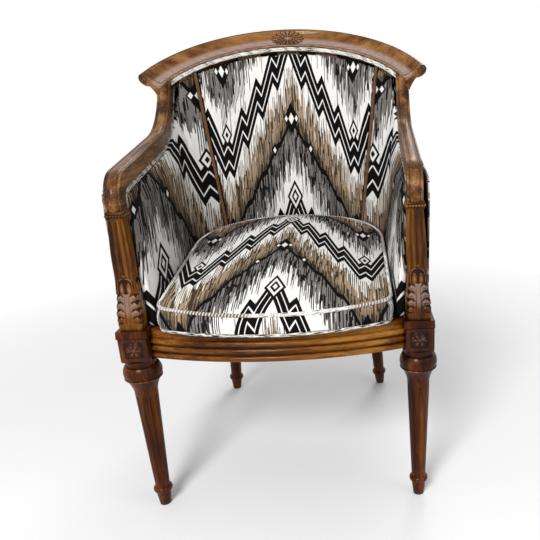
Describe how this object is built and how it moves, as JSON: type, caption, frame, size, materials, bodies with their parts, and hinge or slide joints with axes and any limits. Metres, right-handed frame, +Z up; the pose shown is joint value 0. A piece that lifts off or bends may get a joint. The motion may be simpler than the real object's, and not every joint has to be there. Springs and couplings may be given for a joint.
{
  "type": "accent chair",
  "caption": "Barrel-back armchair with a carved show-wood frame, fluted front legs, flame-stitch upholstery and a loose seat cushion.",
  "frame": {"origin": "on the floor, under the middle of the chair's box", "axes": "+Z up, the front of the chair faces -Y, +X is the sitter's left"},
  "size_m": [0.603, 0.645, 0.8683],
  "materials": {
    "walnut": "satin",
    "frame_wood": "matte",
    "flame_stitch": "woven",
    "spotted_welt": "woven",
    "seam_braid": "woven",
    "deck_cloth": "woven",
    "jute": "woven",
    "padding": "matte",
    "dust_cloth": "woven",
    "spring_steel": "satin",
    "glide": "matte"
  },
  "bodies": {
    "chair_frame": {"arm_dowels": "frame_wood", "back_seat_rail": "walnut", "back_stuffing_rail": "frame_wood", "back_webbing": "jute", "brace_screws": "spring_steel", "corner_braces": "frame_wood", "crest_gimp": "spotted_welt", "crest_rail": "walnut", "crest_rosette": "walnut", "deck_burlap": "jute", "deck_cover": "deck_cloth", "deck_pad": "padding", "dust_cover": "dust_cloth", "foot_glides": "glide", "front_seat_rail": "walnut", "inside_back_pad": "flame_stitch", "left_arm_gimp": "spotted_welt", "left_arm_post": "walnut", "left_arm_rail": "walnut", "left_back_stile": "frame_wood", "left_front_leg": "walnut", "left_inside_arm_pad": "flame_stitch", "left_outside_arm_panel": "flame_stitch", "left_rear_leg": "walnut", "left_seam_welt": "seam_braid", "left_seat_rail": "walnut", "left_stuffing_rail": "frame_wood", "outside_back_panel": "flame_stitch", "post_dowels": "frame_wood", "rail_dowels": "frame_wood", "right_arm_gimp": "spotted_welt", "right_arm_post": "walnut", "right_arm_rail": "walnut", "right_back_stile": "frame_wood", "right_front_leg": "walnut", "right_inside_arm_pad": "flame_stitch", "right_outside_arm_panel": "flame_stitch", "right_rear_leg": "walnut", "right_seam_welt": "seam_braid", "right_seat_rail": "walnut", "right_stuffing_rail": "frame_wood", "seat_springs": "spring_steel", "spring_clips": "spring_steel"},
    "seat_cushion": {"cushion_cover": "flame_stitch", "cushion_core": "padding", "cushion_top_welt": "spotted_welt", "cushion_bottom_welt": "spotted_welt"}
  },
  "joints": [
    {"name": "cushion_lift", "type": "slide", "parent": "chair_frame", "child": "seat_cushion", "axis": [0, 0, 1], "range_m": [0, 0.35]}
  ]
}
